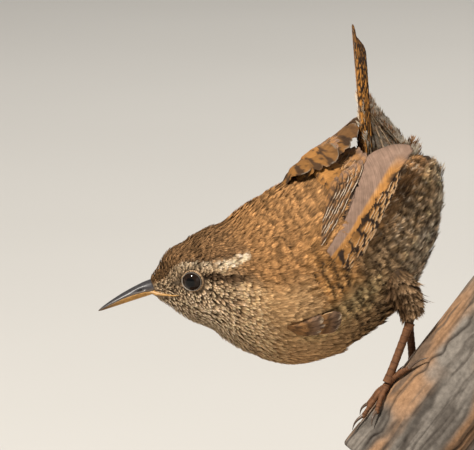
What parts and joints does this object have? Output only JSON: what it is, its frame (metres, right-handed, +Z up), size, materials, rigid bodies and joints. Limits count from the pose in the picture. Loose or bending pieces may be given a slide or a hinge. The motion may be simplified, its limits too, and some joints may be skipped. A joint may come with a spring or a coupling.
{
  "type": "wren",
  "caption": "Life-size still model of a small brown songbird with a cocked tail, clinging to a cut length of trunk on a plain display stand.",
  "frame": {"origin": "centre of the stand base's underside", "axes": "-X the way the bird faces, +Z up, -Y towards the viewer, on the bird's left"},
  "size_m": [0.108, 0.066, 0.1081],
  "materials": {
    "plumage": "soft feathers, brown with fine dark bars and a pale buff underside",
    "flight_feathers": "smooth feather vanes, rufous with dark bars",
    "dark_horn": "slate horn with a soft gloss",
    "pale_horn": "yellow-brown horn with a soft gloss",
    "eye": "wet, dark brown to black",
    "leg_skin": "scaled reddish brown skin",
    "trunk_wood": "weathered grey, cracked, bare",
    "base_wood": "dark, waxed",
    "rod_metal": "brushed"
  },
  "bodies": {
    "root": {"head": "plumage", "neck": "plumage", "torso": "plumage", "rump": "plumage", "thigh_left": "plumage", "thigh_right": "plumage", "wing_left": "flight_feathers", "wing_right": "flight_feathers", "tail": "flight_feathers", "bill_upper": "dark_horn", "bill_lower": "pale_horn", "eye_left": "eye", "eye_right": "eye", "tarsus_left": "leg_skin", "tarsus_right": "leg_skin", "foot_left": "leg_skin", "foot_right": "leg_skin", "perch": "trunk_wood", "stand_base": "base_wood", "stand_rod_front": "rod_metal", "stand_rod_rear": "rod_metal"}
  },
  "joints": []
}
